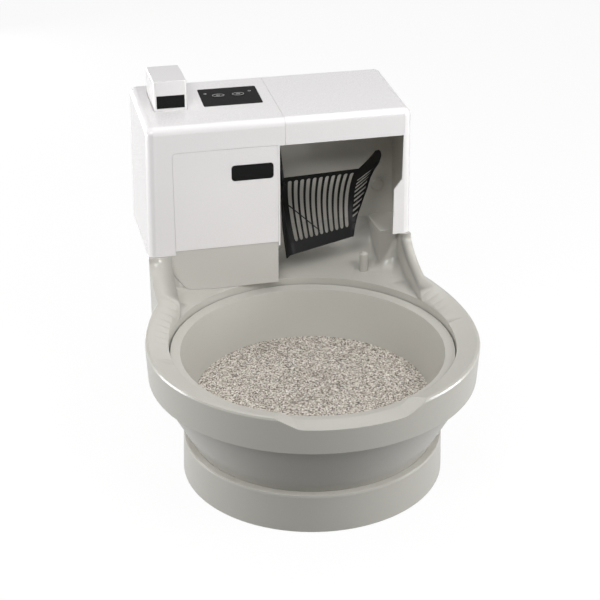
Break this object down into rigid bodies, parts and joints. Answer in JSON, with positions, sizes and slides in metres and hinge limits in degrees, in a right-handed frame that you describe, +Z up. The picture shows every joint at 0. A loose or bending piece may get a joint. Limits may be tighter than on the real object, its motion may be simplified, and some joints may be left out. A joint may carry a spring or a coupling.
{
  "type": "self cleaning litter box",
  "caption": "Round pedestal litter box with a turning bowl, and behind it a tower with a scoop bay, hopper, cartridge and control panel.",
  "frame": {"origin": "on the floor under the part, in the middle of its bounding box", "axes": "+Z up, +Y from the bowl to the tower's back, +X to the right seen from the front"},
  "size_m": [0.499, 0.622, 0.54],
  "materials": {
    "white_gloss_plastic": "glossy moulded",
    "greige_plastic": "glossy moulded",
    "grey_plastic": "satin moulded",
    "black_plastic": "satin moulded",
    "dark_nylon": "matte",
    "white_nylon": "matte",
    "black_rubber": "matte",
    "steel": "brushed",
    "circuit_green": "satin",
    "granules": "loose grains"
  },
  "bodies": {
    "housing": {"base_rim": "greige_plastic", "base_tub": "greige_plastic", "pedestal_ring": "greige_plastic", "rear_base": "greige_plastic", "bottom_plate": "grey_plastic", "foot_front_left": "black_rubber", "foot_front_right": "black_rubber", "foot_rear_left": "black_rubber", "foot_rear_right": "black_rubber", "bowl_gearmotor": "steel", "bowl_spindle": "dark_nylon", "bowl_thrust_ring": "white_nylon", "left_hood": "white_gloss_plastic", "right_hood": "white_gloss_plastic", "bay_liner": "greige_plastic", "tower_deck": "grey_plastic", "front_door": "white_gloss_plastic", "door_plate": "black_plastic", "hopper_front": "grey_plastic", "rear_cover": "grey_plastic", "rear_screw_1": "steel", "rear_screw_2": "steel", "rear_screw_3": "steel", "rear_screw_4": "steel", "control_panel": "black_plastic", "control_board": "circuit_green", "cartridge_dock": "grey_plastic", "dosing_pump": "dark_nylon", "hopper": "grey_plastic", "waste_chute": "grey_plastic", "impeller_motor": "steel", "scoop_gearmotor": "steel", "drive_bracket": "steel", "shaft_bush_left": "white_nylon", "shaft_bush_right": "white_nylon", "blower_motor": "steel", "blower_housing": "dark_nylon", "drain_pump": "dark_nylon", "drain_outlet": "dark_nylon", "water_valve": "white_nylon", "power_inlet": "black_plastic", "water_nozzle": "greige_plastic"},
    "bowl_rotor": {"bowl": "greige_plastic", "litter_bed": "granules", "bowl_ring_gear": "white_nylon"},
    "bowl_drive": {"bowl_pinion": "white_nylon"},
    "arm": {"scoop_arm": "black_plastic", "scoop_shaft": "steel", "scoop_gear": "white_nylon"},
    "scoop_bucket": {"scoop": "black_plastic", "scoop_pin": "steel"},
    "arm_drive": {"scoop_pinion": "steel"},
    "impeller_rotor": {"impeller": "steel"},
    "fan_rotor": {"blower_fan": "white_nylon"},
    "cartridge_body": {"cartridge": "white_gloss_plastic", "cartridge_label": "black_plastic"},
    "button_left_body": {"button_left": "dark_nylon"},
    "button_right_body": {"button_right": "dark_nylon"}
  },
  "joints": [
    {"name": "bowl_turn", "type": "hinge", "parent": "housing", "child": "bowl_rotor", "pos_m": [0, -0.06711, 0], "axis": [0, 0, 1], "continuous": true},
    {"name": "bowl_pinion_turn", "type": "hinge", "parent": "housing", "child": "bowl_drive", "pos_m": [0, 0.07639, 0], "axis": [0, 0, 1], "continuous": true},
    {"name": "arm_lift", "type": "hinge", "parent": "housing", "child": "arm", "pos_m": [0, 0.1955, 0.262], "axis": [1, 0, 0], "range_deg": [0, 100], "deforming": ["litter_bed"]},
    {"name": "scoop_tilt", "type": "hinge", "parent": "arm", "child": "scoop_bucket", "pos_m": [0, 0.1955, 0.42], "axis": [1, 0, 0], "range_deg": [-100, 0]},
    {"name": "scoop_pinion_turn", "type": "hinge", "parent": "housing", "child": "arm_drive", "pos_m": [0, 0.1955, 0.289], "axis": [1, 0, 0], "range_deg": [-200, 0]},
    {"name": "impeller_turn", "type": "hinge", "parent": "housing", "child": "impeller_rotor", "pos_m": [-0.12175, 0.176, 0.22], "axis": [0, 0, 1], "continuous": true},
    {"name": "blower_fan_turn", "type": "hinge", "parent": "housing", "child": "fan_rotor", "pos_m": [0.105, 0.25, 0.365], "axis": [0, 1, 0], "continuous": true},
    {"name": "cartridge_lift", "type": "slide", "parent": "housing", "child": "cartridge_body", "axis": [0, 0, 1], "range_m": [0, 0.13]},
    {"name": "button_left_press", "type": "slide", "parent": "housing", "child": "button_left_body", "axis": [0, 0.0675, -0.9977], "range_m": [0, 0.0008], "stiffness_N_per_m": 400, "springref_m": -0.0005},
    {"name": "button_right_press", "type": "slide", "parent": "housing", "child": "button_right_body", "axis": [0, 0.0675, -0.9977], "range_m": [0, 0.0008], "stiffness_N_per_m": 400, "springref_m": -0.0005}
  ],
  "couplings": [
    {"joint": "bowl_pinion_turn", "follows": "bowl_turn", "ratio": -5.8333},
    {"joint": "scoop_tilt", "follows": "arm_lift", "ratio": -1},
    {"joint": "scoop_pinion_turn", "follows": "arm_lift", "ratio": -2}
  ]
}
